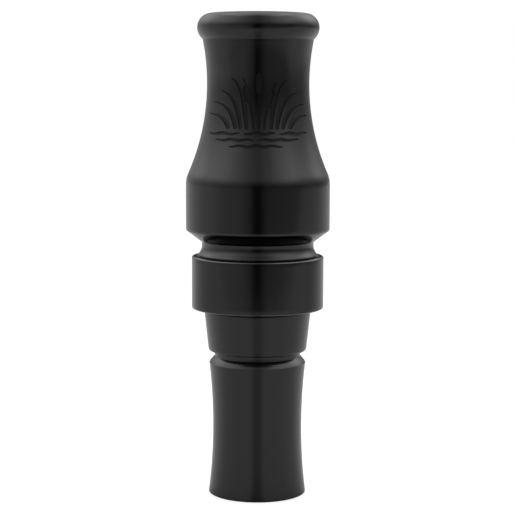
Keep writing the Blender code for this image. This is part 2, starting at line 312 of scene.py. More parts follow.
def add_floor():
    table_middle = TABLE_FRONT + TABLE_SIZE / 2
    bpy.ops.object.select_all(action="DESELECT")
    bpy.ops.mesh.primitive_plane_add(size=TABLE_SIZE, location=(0.0, table_middle, 0.0))
    table = bpy.context.object
    table.name = "white_table"
    finish = Finish(bpy.data.materials.new("table_white"))
    shader = finish.tree.nodes["Principled BSDF"]
    shader.inputs["Base Color"].default_value = (TABLE_GREY, TABLE_GREY, TABLE_GREY, 1.0)
    shader.inputs["Roughness"].default_value = 0.25
    ray = finish.node("ShaderNodeLightPath", output="Is Camera Ray")
    finish.feed(shader.inputs["Emission Color"], ray)
    shader.inputs["Emission Strength"].default_value = TABLE_GLOW
    table.data.materials.append(finish.owner)


def add_painted_shade_card():
    """A card of painted shade just above the table, that only reflections can see."""
    bpy.ops.object.select_all(action="DESELECT")
    bpy.ops.mesh.primitive_plane_add(size=1.0, location=(0.0, TABLE_FRONT / 2, CARD_LIFT))
    card = bpy.context.object
    card.name = "painted_shade_card"
    card.scale = (CARD_WIDTH, -TABLE_FRONT, 1.0)
    bpy.ops.object.transform_apply(location=True, rotation=True, scale=True)
    finish = Finish(bpy.data.materials.new("card_painted_shade"))
    place = finish.node("ShaderNodeTexCoord", output="Object")
    aside = axis(finish, place, "X")
    away = axis(finish, place, "Y") * -1.0
    far = soft_rise(finish, away, *GREY_RISE_SPAN, "LINEAR")
    slant = aside / away
    faded = soft_rise(finish, slant.math("ABSOLUTE", slant), *SIDE_FADE_SPAN)
    front = soft_rise(finish, away, *FRONT_FADE_SPAN)
    # Painted shade: darkest near the call, lighter further out.
    grey = far * CARD_GREY_RISE + SHADE_GREY_NEAR_CALL
    blended = grey + (TABLE_GREY - grey) * faded
    shader = finish.tree.nodes["Principled BSDF"]
    finish.feed(shader.inputs["Base Color"], blended * (1.0 - front * FRONT_FADE))
    shader.inputs["Roughness"].default_value = 0.9
    card.data.materials.append(finish.owner)
    card.visible_camera = False
    card.visible_diffuse = False
    card.visible_shadow = False


add_floor()
add_painted_shade_card()

# %% [markdown]
# ## The finishes
# Each finish is a Principled shader with its fixed values on its own sockets. What changes over
# a surface goes through maths on Object coordinates, in millimetres, so a pattern has the same
# scale on every piece. In a sum for roughness, the first number is that of the smoothest spots,
# and the others are how much each pattern adds.

# %% Shared parts of every finish
def begin_finish(name, colour, roughness, metallic=0.0):
    """A Principled material whose uniform values sit on the shader itself."""
    finish = Finish(bpy.data.materials.new(name))
    finish.owner.diffuse_color = (*colour, 1.0)
    finish.shader = finish.tree.nodes["Principled BSDF"]
    finish.shader.inputs["Base Color"].default_value = (*colour, 1.0)
    finish.shader.inputs["Roughness"].default_value = roughness
    finish.shader.inputs["Metallic"].default_value = metallic
    return finish


def vary(finish, name, value):
    """Feeds a value that changes over the surface to one of the shader's sockets."""
    finish.feed(finish.shader.inputs[name], value)


def in_millimetres(finish, stretch=(1.0, 1.0, 1.0)):
    """Object coordinates in millimetres. A number below 1 draws a pattern out along that axis."""
    place = finish.node("ShaderNodeTexCoord", output="Object")
    scale = [value / MM for value in stretch]
    return finish.node("ShaderNodeMapping", sockets={"Vector": place, "Scale": scale})


def noise(finish, size, detail=2.0, stretch=(1.0, 1.0, 1.0)):
    """A soft random pattern between 0 and 1, with features of about this size in millimetres."""
    place = in_millimetres(finish, stretch)
    sockets = {"Vector": place, "Scale": 1.0 / size, "Detail": detail}
    return finish.node("ShaderNodeTexNoise", sockets=sockets)


def relief(finish, height, depth):
    """Feeds a height pattern to the shader's normal, as a relief this many millimetres deep."""
    sockets = {"Height": height, "Distance": depth * MM, "Strength": 1.0}
    bump = finish.node("ShaderNodeBump", sockets=sockets)
    vary(finish, "Normal", bump)


# %% [markdown]
# ### Turned black plastic
# The barrel and the insert are cut from black rod on a lathe and rubbed down to a satin sheen.
# The tool leaves very fine rings around the axis: noise drawn out along X and Y. Handling
# leaves patches that are a touch shinier, and a fine grain softens the sheen. All of it is
# faint, because the surface still has to read as smooth and black.

# %% Turned plastic
def add_turned_plastic():
    finish = begin_finish("turned_black_plastic", (0.0012, 0.0012, 0.0013), 0.15)
    rings = noise(finish, 0.22, 3.0, stretch=(0.02, 0.02, 1.0))
    grain = noise(finish, 0.12)
    patches = noise(finish, 9.0, 3.0)
    vary(finish, "Roughness", 0.1 + patches * 0.07 + grain * 0.03)
    relief(finish, rings * 0.6 + grain * 0.4, 0.0025)
    return finish.owner


turned_plastic = add_turned_plastic()

# %% [markdown]
# ### Engraved plastic, and the undercut's painted shade
# The laser roughens what it burns away, so the floor of the engraving scatters light and looks
# flat and a little darker than the sheen around it. Its material is rougher, with a deeper
# grain and no rings. The deep undercut below the bulge gets a material of its own too, which is
# painted shade: smooth, but darker and mirroring very little, for the shade under the bulge.

# %% Engraved plastic, and the undercut's painted shade
# Painted shade: the undercut's black plastic, made darker and less mirroring than the rest.
def add_undercut_painted_shade():
    finish = begin_finish("undercut_painted_shade_plastic", (0.0006, 0.0006, 0.0006), 0.14)
    finish.shader.inputs["Specular IOR Level"].default_value = 0.2
    grain = noise(finish, 0.15)
    vary(finish, "Roughness", 0.12 + grain * 0.06)
    return finish.owner


def add_engraved_plastic():
    finish = begin_finish("engraved_black_plastic", (0.0012, 0.0012, 0.0012), 0.45)
    finish.shader.inputs["Specular IOR Level"].default_value = 0.25
    grain = noise(finish, 0.09, 3.0)
    vary(finish, "Roughness", 0.32 + grain * 0.25)
    relief(finish, grain, 0.02)
    return finish.owner


engraved_plastic = add_engraved_plastic()
undercut_painted_shade = add_undercut_painted_shade()

# %% [markdown]
# ### Black anodised band
# Anodising dyes a glassy layer on aluminium, so the band mirrors more crisply than the plastic.
# It is a metal with a very dark colour and fine turned rings. Its two outer edges get a painted
# highlight: a lighter colour, by their distance from the band's middle, for the hairline of light
# they catch.

# %% Anodised metal
band_low, band_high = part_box("barrel_band")
band_middle = (band_low.z + band_high.z) / 2 / MM
band_half = (band_high.z - band_low.z) / 2 / MM


def add_anodised_metal():
    finish = begin_finish("black_anodised_metal", (0.038, 0.038, 0.04), 0.2, 1.0)
    height = axis(finish, in_millimetres(finish), "Z")
    offset = height - band_middle
    from_middle = offset.math("ABSOLUTE", offset)
    # Painted highlight on the two rounded edges: their colour is lighter.
    worn = soft_rise(finish, from_middle, band_half - 0.45, band_half - 0.2)
    dyed = (0.042, 0.042, 0.044, 1.0)
    painted_highlight_colour = (0.105, 0.105, 0.107, 1.0)
    shade = ramp(finish, worn, (0.0, dyed), (1.0, painted_highlight_colour))
    vary(finish, "Base Color", shade)
    rings = noise(finish, 0.1, stretch=(0.01, 0.01, 1.0))
    patches = noise(finish, 7.0)
    vary(finish, "Roughness", 0.09 + patches * 0.08 + rings * 0.03)
    relief(finish, rings, 0.001)
    return finish.owner


anodised_metal = add_anodised_metal()

# %% [markdown]
# ### The hidden finishes
# When the barrel comes off, four more finishes show: soft black rubber, smoky moulded plastic,
# milky film, and cork. Cork is the only one with a strong pattern. Its cells give it a mottled
# tan, and its pores are dark flecks that run along the bark.

# %% Rubber, moulded plastic and film
def add_seal_rubber():
    finish = begin_finish("seal_rubber", (0.012, 0.012, 0.012), 0.55)
    grain = noise(finish, 0.15, 3.0)
    vary(finish, "Roughness", 0.48 + grain * 0.2)
    relief(finish, grain, 0.006)
    return finish.owner


def add_board_plastic():
    finish = begin_finish("smoky_board_plastic", (0.11, 0.12, 0.13), 0.25)
    flow = noise(finish, 3.0, 3.0, stretch=(1.0, 1.0, 0.25))
    grain = noise(finish, 0.2)
    shade = ramp(finish, flow, (0.3, (0.095, 0.105, 0.115, 1.0)), (0.7, (0.13, 0.14, 0.15, 1.0)))
    vary(finish, "Base Color", shade)
    vary(finish, "Roughness", 0.22 + grain * 0.12)
    relief(finish, grain, 0.003)
    return finish.owner


def add_reed_film():
    finish = begin_finish("milky_reed_film", (0.78, 0.8, 0.78), 0.28)
    streaks = noise(finish, 0.35, stretch=(1.0, 1.0, 0.03))
    patches = noise(finish, 6.0)
    shade = ramp(finish, patches, (0.3, (0.72, 0.75, 0.73, 1.0)), (0.7, (0.8, 0.82, 0.8, 1.0)))
    vary(finish, "Base Color", shade)
    vary(finish, "Roughness", 0.22 + streaks * 0.14)
    relief(finish, streaks, 0.002)
    return finish.owner


seal_rubber = add_seal_rubber()
board_plastic = add_board_plastic()
reed_film = add_reed_film()

# %% Cork
def add_cork():
    finish = begin_finish("cut_cork", (0.45, 0.29, 0.16), 0.85)
    cells = noise(finish, 0.8, 4.0)
    flecks = noise(finish, 0.9, 1.0, stretch=(1.0, 1.0, 0.35))
    pits = ramp(finish, flecks, (0.62, 0.0), (0.68, 1.0))
    tan = ramp(finish, cells, (0.3, (0.36, 0.22, 0.11, 1.0)), (0.7, (0.58, 0.4, 0.23, 1.0)))
    dark = finish.node(
        "ShaderNodeMix",
        {"data_type": "RGBA", "blend_type": "MIX"},
        {0: pits, 6: tan, 7: (0.1, 0.05, 0.025, 1.0)},
        output=2,
    )
    vary(finish, "Base Color", dark)
    relief(finish, cells - pits, 0.12)
    return finish.owner


cork = add_cork()

# %% [markdown]
# ## Turning on a lathe
# Barrel, insert, band and O-rings are all turned. Drawing half the outline and spinning it is
# the shortest way to such a shape, and it is how a lathe works too: the tool's path is the
# outline. A cylinder shaped by loops and scaling would need each ring placed by hand.
#
# An outline is a list of corners, each with a radius, a height and a rounding, in millimetres.
# Real corners are never sharp, and a rounded one catches a thin line of light. Straight runs
# are split into short steps, so that smooth shading doesn't smear a corner's round along them.

# %% Outlines
def round_corner(before, corner, after, rounding, steps=5):
    """The arc that replaces a sharp corner between two straight runs."""
    corner_at = Vector(corner[:2])
    back = (Vector(before[:2]) - corner_at).normalized()
    ahead = (Vector(after[:2]) - corner_at).normalized()
    half_angle = back.angle(ahead) / 2
    reach = rounding / math.tan(half_angle)
    start = corner_at + back * reach
    end = corner_at + ahead * reach
    centre = corner_at + (back + ahead).normalized() * rounding / math.sin(half_angle)
    spoke = start - centre
    turn = spoke.angle_signed(end - centre)
    points = []
    for step in range(steps + 1):
        angle = -turn * step / steps
        x = spoke.x * math.cos(angle) - spoke.y * math.sin(angle)
        y = spoke.x * math.sin(angle) + spoke.y * math.cos(angle)
        points.append((centre.x + x, centre.y + y))
    return points


def trace(corners, step=1.0, closed=True):
    """Rounds an outline's corners and splits its long runs, as a list of (radius, height)."""
    rounded = []
    for index, corner in enumerate(corners):
        rounding = corner[2] if len(corner) > 2 else 0.0
        if rounding:
            before = corners[index - 1]
            after = corners[(index + 1) % len(corners)]
            rounded += round_corner(before, corner, after, rounding)
        else:
            rounded.append(corner[:2])
    path = []
    ends = rounded[1:] + rounded[:1] if closed else rounded[1:]
    for start, end in zip(rounded, ends):
        pieces = max(1, math.ceil(math.dist(start, end) / step))
        for piece in range(pieces):
            share = piece / pieces
            path.append(tuple(a + (b - a) * share for a, b in zip(start, end)))
    if not closed:
        path.append(rounded[-1])
    return path


def arc(centre, radius, start, end, steps):
    """Points of an arc between two angles in degrees."""
    points = []
    for step in range(steps + 1):
        angle = math.radians(start + (end - start) * step / steps)
        points.append((centre[0] + radius * math.cos(angle), centre[1] + radius * math.sin(angle)))
    return points


def waist(least, middle, curve, top, bottom, steps):
    """A hollow curve, narrowest at the height middle, followed from top to bottom."""
    points = []
    for step in range(steps + 1):
        height = top + (bottom - top) * step / steps
        points.append((least + curve - math.sqrt(curve**2 - (height - middle) ** 2), height))
    return points


# %% The lathe
SPIN_STEPS = 192
SHARP_ANGLE = 32
MERGE_DISTANCE = 0.002


def select_alone(obj):
    bpy.ops.object.select_all(action="DESELECT")
    obj.select_set(True)
    bpy.context.view_layer.objects.active = obj


def begin_edit(obj):
    """Enters edit mode on one object alone, with nothing in it selected."""
    bpy.ops.object.mode_set(mode="OBJECT")
    select_alone(obj)
    bpy.ops.object.mode_set(mode="EDIT")
    bpy.ops.mesh.select_all(action="DESELECT")


def end_edit():
    bpy.ops.object.mode_set(mode="OBJECT")
    return bpy.context.object


def draw_outline(name, path, closed):
    """A chain of edges in the XZ plane, drawn by extruding one point from place to place.

    A plane merged into its centre gives that first point. A closed outline gets one more edge,
    between its two loose ends.
    """
    bpy.ops.object.select_all(action="DESELECT")
    bpy.ops.mesh.primitive_plane_add(size=MM, location=(0.0, 0.0, 0.0))
    bpy.context.object.name = name
    begin_edit(bpy.context.object)
    bpy.ops.mesh.select_mode(type="VERT")
    bpy.ops.mesh.select_all(action="SELECT")
    bpy.ops.mesh.merge(type="CENTER")
    bpy.ops.transform.translate(value=(path[0][0] * MM, 0.0, path[0][1] * MM))
    for start, end in zip(path, path[1:]):
        move = ((end[0] - start[0]) * MM, 0.0, (end[1] - start[1]) * MM)
        bpy.ops.mesh.extrude_region_move(TRANSFORM_OT_translate={"value": move})
    if closed:
        mesh = bmesh.from_edit_mesh(bpy.context.object.data)
        for vert in mesh.verts:
            vert.select_set(len(vert.link_edges) == 1)
        bpy.ops.mesh.edge_face_add()


def smooth_by_angle(obj, degrees):
    select_alone(obj)
    bpy.ops.object.shade_smooth_by_angle(angle=math.radians(degrees))


def turn_piece(name, path, closed=True):
    """Spins an outline around the Z axis into a closed solid, smooth but for its sharp edges."""
    draw_outline(name, path, closed)
    bpy.ops.mesh.select_all(action="SELECT")
    bpy.ops.mesh.spin(steps=SPIN_STEPS, angle=math.tau, center=(0, 0, 0), axis=(0, 0, 1))
    bpy.ops.mesh.select_all(action="SELECT")
    bpy.ops.mesh.remove_doubles(threshold=MERGE_DISTANCE * MM)
    bpy.ops.mesh.normals_make_consistent(inside=False)
    piece = end_edit()
    smooth_by_angle(piece, SHARP_ANGLE)
    print(name, "has", len(piece.data.polygons), "faces")
    return piece


def use_modifier(obj, kind, **settings):
    """Adds one modifier, gives it its settings and applies it."""
    select_alone(obj)
    modifier = obj.modifiers.new(kind.lower(), kind)
    for name, value in settings.items():
        setattr(modifier, name, value)
    bpy.ops.object.modifier_apply(modifier=modifier.name)


def carve(obj, operation, tool, **settings):
    """Applies a Boolean with another object, and removes that object."""
    use_modifier(obj, "BOOLEAN", operation=operation, solver="MANIFOLD", object=tool, **settings)
    bpy.data.objects.remove(tool)


def face_outwards(obj):
    begin_edit(obj)
    bpy.ops.mesh.select_all(action="SELECT")
    bpy.ops.mesh.normals_make_consistent(inside=False)
    end_edit()


def break_edges(obj, width, segments, degrees):
    """Bevels every edge sharper than this angle."""
    limit = math.radians(degrees)
    settings = {"limit_method": "ANGLE", "angle_limit": limit}
    use_modifier(obj, "BEVEL", width=width * MM, segments=segments, **settings)


def dress(piece, material, slot, body, *nodes):
    """Gives a piece its material, hides the frame's parts that it stands for, and hangs it on the
    body it rides on.

    A Boolean can leave an empty material slot behind, which would render as plain white, so
    such slots are cleared first.
    """
    if None in list(piece.data.materials):
        piece.data.materials.clear()
    if not piece.data.materials:
        piece.data.materials.append(material)
    print(piece.name, "wears", [worn.name for worn in piece.data.materials])
    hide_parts(*nodes)
    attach(piece, body)


# %% [markdown]
# ## The insert
# The insert is one turned piece. Its tenon, at the top, goes up into the barrel and carries the
# O-rings in two square grooves. Below the band it shows as a tapered collar, a groove for a
# lanyard's loop, and a long stem with a slight waist. The bore opens like a trumpet at the foot.
#
# Its outline goes down the outside from the tenon to the foot, and back up the inside. Heights
# near the collar are given from the barrel's end, because that is what they have to fit.

# %% Sizes of the insert
tenon_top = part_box("insert_stem")[1].z / MM
barrel_low, barrel_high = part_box("barrel")
barrel_bottom = barrel_low.z / MM
mouth_top = barrel_high.z / MM
collar_top = barrel_bottom - 0.25
exhaust_radius = 5.2
socket_radius = 6.0
ring_heights = {}
for node in ("tenon_o_ring_front", "tenon_o_ring_rear"):
    ring_low, ring_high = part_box(node)
    ring_heights[node] = (ring_low.z + ring_high.z) / 2 / MM
print("O-rings sit at", ring_heights)

# %% Turn the insert
def outline_tenon():
    """The tenon's front, its two O-ring grooves and the inner corner at the collar."""
    radius = 8.5
    groove_radius = 6.98
    groove_half = 0.95
    corners = [(socket_radius, tenon_top, 0.25), (radius, tenon_top, 0.6)]
    for height in ring_heights.values():
        corners += [
            (radius, height + groove_half, 0.12),
            (groove_radius, height + groove_half, 0.2),
            (groove_radius, height - groove_half, 0.2),
            (radius, height - groove_half, 0.12),
        ]
    return corners + [(radius, collar_top, 0.25)]


def outline_collar():
    """The collar's taper, its rounded lower edge, the lanyard groove and the stem's shoulder."""
    collar_bottom = barrel_bottom - 11.45
    groove_radius = 11.4
    return [
        (14.22, collar_top, 0.5),
        (13.0, collar_bottom, 0.9),
        (groove_radius, collar_bottom, 0.12),
        (groove_radius, barrel_bottom - 12.75, 0.2),
        (12.52, barrel_bottom - 14.0, 0.18),
    ]


def outline_stem():
    """The stem's long waist, its foot, and the exhaust bore up to the tone board's socket."""
    stem_top = barrel_bottom - 14.5
    stem = waist(least=11.84, middle=18.3, curve=146.0, top=stem_top, bottom=0.5, steps=30)
    bell_depth = 26.0
    bell_flare = 4.4
    bell_curve = (bell_depth**2 + bell_flare**2) / (2 * bell_flare)
    bell = waist(exhaust_radius, bell_depth, bell_curve, 0.9, bell_depth, 14)
    foot = [(13.0, 0.0, 0.3), (9.85, 0.0, 0.5)]
    socket_floor = 50.0
    socket = [(exhaust_radius, socket_floor, 0.1), (socket_radius, socket_floor, 0.1)]
    return stem + foot + bell + socket


insert_corners = outline_tenon() + outline_collar() + outline_stem()
insert = turn_piece("insert_turned", trace(insert_corners))
dress(insert, turned_plastic, "turned_plastic", "insert", "insert_stem")

# %% [markdown]
# ## The barrel
# The barrel is the mouth end: a round bead for the lips, a hollow neck to hold, and a straight
# bulge with a deep groove under it for a lanyard. Its lower end is a plain sleeve that the band
# covers. The bead is two arcs that meet at its widest point, the neck is one long arc, and a
# shorter arc turns the neck into the bulge without a visible corner. Between the groove and the
# band stays a thin slot, which draws a fine dark line.

# %% Turn the barrel
neck_radius = 13.44
neck_curve = 58.5
neck_middle = mouth_top - 18.15
bulge_radius = cad_high.x / MM
shoulder_curve = 8.0
bore_radius = 8.73
seat_radius = 15.9
seat_top = barrel_bottom + 13.5
slot_top = barrel_bottom + 14.22
slot_radius = 15.4


def neck_surface(height):
    """The neck's radius at a height, which the engraving follows too."""
    return neck_radius + neck_curve - math.sqrt(neck_curve**2 - (height - neck_middle) ** 2)


def outline_bead():
    """The bead for the lips: a round upper arc, and a slightly larger one below it."""
    top_curve = 3.6
    under_curve = 4.1
    middle = mouth_top - top_curve
    top = arc((12.4, middle), top_curve, 90, 0, 14)
    under = arc((11.9, middle), under_curve, 0, -47, 12)
    corner = [(14.53, mouth_top - 6.8, 0.0)]
    return top + under[1:] + corner


def outline_neck():
    """The neck's hollow arc and the shoulder's round one, joined where their slopes are equal."""
    across = neck_radius + neck_curve - (bulge_radius - shoulder_curve)
    rise = math.sqrt((neck_curve + shoulder_curve) ** 2 - across**2)
    shoulder_centre = (bulge_radius - shoulder_curve, neck_middle - rise)
    join = math.atan2(rise, across)
    join_height = shoulder_centre[1] + shoulder_curve * math.sin(join)
    neck = waist(neck_radius, neck_middle, neck_curve, mouth_top - 7.15, join_height, 44)
    shoulder = arc(shoulder_centre, shoulder_curve, math.degrees(join), 0, 8)
    return neck + shoulder[1:]


def outline_groove():
    """The bulge's lower edge, the undercut and the round groove, down to the band's seat."""
    edge_curve = 1.6
    groove_curve = 3.5
    edge = arc((bulge_radius - edge_curve, barrel_bottom + 21.45), edge_curve, 0, -25, 6)
    corner = [(*edge[-1], 0.15)]
    groove = arc((18.3, barrel_bottom + 16.9), groove_curve, 165, 216, 12)
    slot = [
        (15.85, slot_top, 0.08),
        (slot_radius, slot_top),
        (slot_radius, seat_top),
        (seat_radius, seat_top),
    ]
    sleeve = [(seat_radius, barrel_bottom, 0.4)]
    return edge[:-1] + corner + groove + slot + sleeve


def outline_bore():
    """The bore from the sleeve's end up to the flared mouth and the lip's flat top."""
    flare = 1.67
    depth = 13.0
    curve = (depth**2 + flare**2) / (2 * flare)
    rim_curve = 0.9
    start = mouth_top - depth - rim_curve
    lead_in = [(bore_radius + 0.4, barrel_bottom, 0.15), (bore_radius, barrel_bottom + 0.8, 0.3)]
    bell = waist(bore_radius, start, curve, start, start + depth, 14)
    rim_centre = (bore_radius + flare + rim_curve, mouth_top - rim_curve)
    rim = arc(rim_centre, rim_curve, 180, 90, 8)
    return lead_in + bell + rim[1:]


barrel_corners = outline_bead() + outline_neck() + outline_groove() + outline_bore()
barrel = turn_piece("barrel_turned", trace(barrel_corners))
barrel.data.materials.append(turned_plastic)
barrel.data.materials.append(undercut_painted_shade)

# %% [markdown]
# Hardly any light gets in under the bulge, so the undercut gets painted shade: its faces, the only
# ones at that height that look down and outwards, wear the darker, less mirroring material.

# %% Undercut
UNDERCUT_SHADE_SLOT = 1
UNDERCUT_LOW = 17.6
UNDERCUT_HIGH = 20.8
STEEPEST_UNDERCUT = -0.6


def paint_undercut_shade(obj):
    begin_edit(obj)
    mesh = bmesh.from_edit_mesh(obj.data)
    for face in mesh.faces:
        centre = face.calc_center_median()
        height = centre.z / MM - barrel_bottom
        at_height = UNDERCUT_LOW < height < UNDERCUT_HIGH
        looks_down = face.normal.z < STEEPEST_UNDERCUT
        looks_out = face.normal.x * centre.x + face.normal.y * centre.y > 0
        face.select_set(at_height and looks_down and looks_out)
    obj.active_material_index = UNDERCUT_SHADE_SLOT
    bpy.ops.object.material_slot_assign()
    end_edit()


paint_undercut_shade(barrel)

# %% [markdown]
# ## The engraving
# A laser has cut a mark a fraction of a millimetre into the neck. The one here is a marsh
# scene made up for this part: three bulrushes, blades of reed on both sides, and ripples below.
#
# Each shape is drawn flat and pushed through the neck like a cookie cutter. To stop it at an
# even depth, the cutters are first trimmed to a thin turned shell that follows the neck. A bump
# pattern would be quicker, but it would have no edges to catch the light.
#
# Many of the shapes overlap. Of the Boolean solvers, Manifold copes with that, while Exact
# left nothing at all. Transfer hands the cutter's material on to the faces it cuts.

# %% Shapes of the engraving
ENGRAVING_DEPTH = 0.25
mark_base = mouth_top - 29.8


def ribbon(points, half_width):
    """An outline around a line of points. half_width turns a share of its length into a width."""
    left = []
    right = []
    for index, point in enumerate(points):
        before = Vector(points[max(index - 1, 0)])
        after = Vector(points[min(index + 1, len(points) - 1)])
        along = (after - before).normalized()
        wide = half_width(index / (len(points) - 1))
        left.append((point[0] - along.y * wide, point[1] + along.x * wide))
        right.append((point[0] + along.y * wide, point[1] - along.x * wide))
    return left + right[::-1]


def blade(foot, tip_side, tip_rise, steps=9):
    """A reed's leaf: upright at its foot, then leaning out to a point."""
    bend = math.radians(82)
    points = []
    for step in range(steps + 1):
        share = step / steps
        side = foot + (tip_side - foot) * (0.2 * share + 0.8 * share**2.2)
        rise = tip_rise * math.sin(share * bend) / math.sin(bend)
        points.append((side, mark_base + rise))

    def half_width(share):
        return 0.05 + 0.74 * (1 - share) ** 0.7 * min(1.0, 0.5 + 2 * share)

    return ribbon(points, half_width)


def bulrush(foot, lean, head_rise, head_length, steps=40):
    """A bulrush: a thin stem that leans out, a thick round-ended head and a short spike."""
    spike_length = 2.0
    whole = head_rise + head_length + spike_length
    head_start = head_rise / whole
    head_end = (head_rise + head_length) / whole
    points = []
    for step in range(steps + 1):
        share = step / steps
        points.append((foot + lean * share**1.6, mark_base + whole * share))

    def half_width(share):
        if share < head_start:
            return 0.3
        if share > head_end:
            return 0.12
        along = (share - head_start) / (head_end - head_start)
        return max(0.3, 0.95 * (1 - abs(2 * along - 1) ** 6) ** 0.5)

    return ribbon(points, half_width)


def ripple(start, end, drop):
    """A wavy stroke, thickest in the middle, this far below the reeds' feet."""
    steps = max(6, round((end - start) / 0.7))
    points = []
    for step in range(steps + 1):
        side = start + (end - start) * step / steps
        points.append((side, mark_base - drop + 0.16 * math.sin(side * 1.5 + drop * 2)))
    return ribbon(points, lambda share: 0.06 + 0.36 * math.sin(math.pi * share) ** 0.5)


mark_shapes = [
    bulrush(-1.2, -2.6, 6.4, 4.6),
    bulrush(0.2, 0.2, 9.0, 5.2),
    bulrush(1.5, 2.9, 5.2, 4.4),
    blade(-3.0, -7.0, 13.0),
    blade(-4.5, -9.5, 9.8),
    blade(-5.8, -11.3, 6.9),
    blade(-7.6, -12.5, 3.9),
    blade(3.3, 7.4, 12.4),
    blade(4.8, 10.0, 9.2),
    blade(6.3, 11.7, 6.3),
    blade(8.1, 12.6, 3.4),
    ripple(-12.6, -4.6, 1.2),
    ripple(-3.8, 4.4, 1.2),
    ripple(5.2, 12.6, 1.2),
    ripple(-11.0, -1.0, 2.8),
    ripple(-0.2, 10.4, 2.8),
    ripple(-7.6, 6.4, 4.4),
]
print("The engraving has", len(mark_shapes), "shapes")

# %% Cut the engraving
ENGRAVED_SLOT = 2
CUTTER_REACH = 22.0
SHELL_START = -6.0
SHELL_ROWS = 25
SHELL_OVERHANG = 0.6


def add_mark_cutter(outlines):
    """All outlines as one object, each filled and drawn out into a bar towards the front."""
    bars = []
    for number, outline in enumerate(outlines):
        draw_outline("bar_" + str(number), outline, closed=False)
        bpy.ops.mesh.select_all(action="SELECT")
        bpy.ops.mesh.edge_face_add()
        bpy.ops.mesh.select_all(action="SELECT")
        forward = (0.0, -CUTTER_REACH * MM, 0.0)
        bpy.ops.mesh.extrude_region_move(TRANSFORM_OT_translate={"value": forward})
        bars.append(end_edit())
    bpy.ops.object.select_all(action="DESELECT")
    for bar in bars:
        bar.select_set(True)
    bpy.context.view_layer.objects.active = bars[0]
    bpy.ops.object.join()
    cutter = bpy.context.object
    face_outwards(cutter)
    cutter.data.materials.append(engraved_plastic)
    return cutter


def add_depth_shell():
    """A thin shell around the neck, whose inner side is as deep as the engraving goes."""
    heights = [mark_base + SHELL_START + row for row in range(SHELL_ROWS)]
    outer = [(neck_surface(height) + SHELL_OVERHANG, height) for height in heights[::-1]]
    inner = [(neck_surface(height) - ENGRAVING_DEPTH, height) for height in heights]
    shell = turn_piece("depth_shell", outer + inner)
    shell.data.materials.append(engraved_plastic)
    return shell


mark_cutter = add_mark_cutter(mark_shapes)
carve(mark_cutter, "INTERSECT", add_depth_shell())
carve(barrel, "DIFFERENCE", mark_cutter, material_mode="TRANSFER")
smooth_by_angle(barrel, SHARP_ANGLE)
dress(barrel, turned_plastic, "turned_plastic", "barrel", "barrel")
engraved = sum(face.material_index == ENGRAVED_SLOT for face in barrel.data.polygons)
print("The barrel has", len(barrel.data.polygons), "faces,", engraved, "of them engraved")

# %% [markdown]
# ## The band
# A plain ring of black anodised metal, pressed onto the barrel's end. Its broken edges are what
# shows it is metal: each one draws a hairline of light.

# %% Turn the band
def outline_band():
    top = band_high.z / MM
    bottom = band_low.z / MM
    outer = band_high.x / MM
    inner = seat_radius + 0.03
    chamfer = 0.3
    return [
        (inner + chamfer, top, 0.12),
        (outer, top, 0.5),
        (outer, bottom, 0.5),
        (inner + chamfer, bottom, 0.12),
        (inner, bottom + chamfer, 0.1),
        (inner, top - chamfer, 0.1),
    ]


band = turn_piece("band_turned", trace(outline_band()))
dress(band, anodised_metal, "band_metal", "barrel", "barrel_band")

# %% [markdown]
# ## The O-rings
# Two rubber rings on the tenon make the call airtight and hold the barrel on by friction. A
# moulded ring has a thin line where the mould's halves met, inside and outside, so its round
# section gets two tiny ridges.

# %% Turn the O-rings
SECTION_STEPS = 40
RIDGE_HEIGHT = 0.03


def outline_ring(node):
    """A ring's round section, as far out as its box allows, ridges and all."""
    ring_low, ring_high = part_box(node)
    cord = (ring_high.z - ring_low.z) / 2 / MM
    middle = ring_high.x / MM - cord
    section = []
    for step in range(SECTION_STEPS):
        angle = -math.tau * step / SECTION_STEPS
        on_mould_line = step % (SECTION_STEPS // 2) == 0
        ridge = RIDGE_HEIGHT if on_mould_line else 0.0
        reach = cord - RIDGE_HEIGHT + ridge
        out = middle + reach * math.cos(angle)
        up = ring_heights[node] + reach * math.sin(angle)
        section.append((out, up))
    return section


for node in ring_heights:
    ring = turn_piece(node + "_moulded", outline_ring(node))
    dress(ring, seal_rubber, "seal_rubber", "seals", node)

# %% [markdown]
# ## The tone board
# The tone board starts on the lathe too: a rod with a thinner plug and a rounded nose. Then its
# front is planed off, flat in the clamp and falling away in a slight ramp above it, so that the
# reeds have room to swing. A plane cut (bisect) does that in one go. The tone channel is
# milled with a ball-nosed cutter, here a bevelled block taken away with a Boolean.
#
# Its long edges are broken a little, but the channel's are left crisp, as they are on a real
# board, where the reed must close on them.

# %% Tone board
board_low, board_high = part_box("tone_board")
board_top = board_high.z / MM
board_step = tenon_top + 0.3
reed_bed = -0.6
ramp_slope = math.tan(math.radians(1.9))
channel_half = 1.8
channel_floor = reed_bed + 3.8
channel_top = board_top - 5.5


def outline_board():
    """Half the board's outline from its nose down to the plug's end, open at the axis."""
    radius = 6.5
    plug_radius = 5.88
    tip_length = 7.0
    tip_drop = 1.9
    curve = (tip_length**2 + tip_drop**2) / (2 * tip_drop)
    turn_of_nose = math.degrees(math.asin(tip_length / curve))
    nose = arc((radius - curve, board_top - tip_length), curve, turn_of_nose, 0, 10)
    bottom = board_low.z / MM
    rim = [(0.0, board_top), (nose[0][0] - 0.5, board_top), (nose[0][0], board_top - 0.35)]
    body = [
        (radius, board_step, 0.15),
        (plug_radius, board_step, 0.1),
        (plug_radius, bottom, 0.5),
        (0.0, bottom),
    ]
    return rim + nose[1:] + body


def cut_off(obj, place, facing, fill=True):
    """Removes what lies beyond a plane, on the side it faces, and closes the cut if asked."""
    begin_edit(obj)
    bpy.ops.mesh.select_all(action="SELECT")
    bpy.ops.mesh.bisect(
        plane_co=[value * MM for value in place],
        plane_no=facing,
        clear_outer=True,
        use_fill=fill,
        threshold=0.001 * MM,
    )
    end_edit()


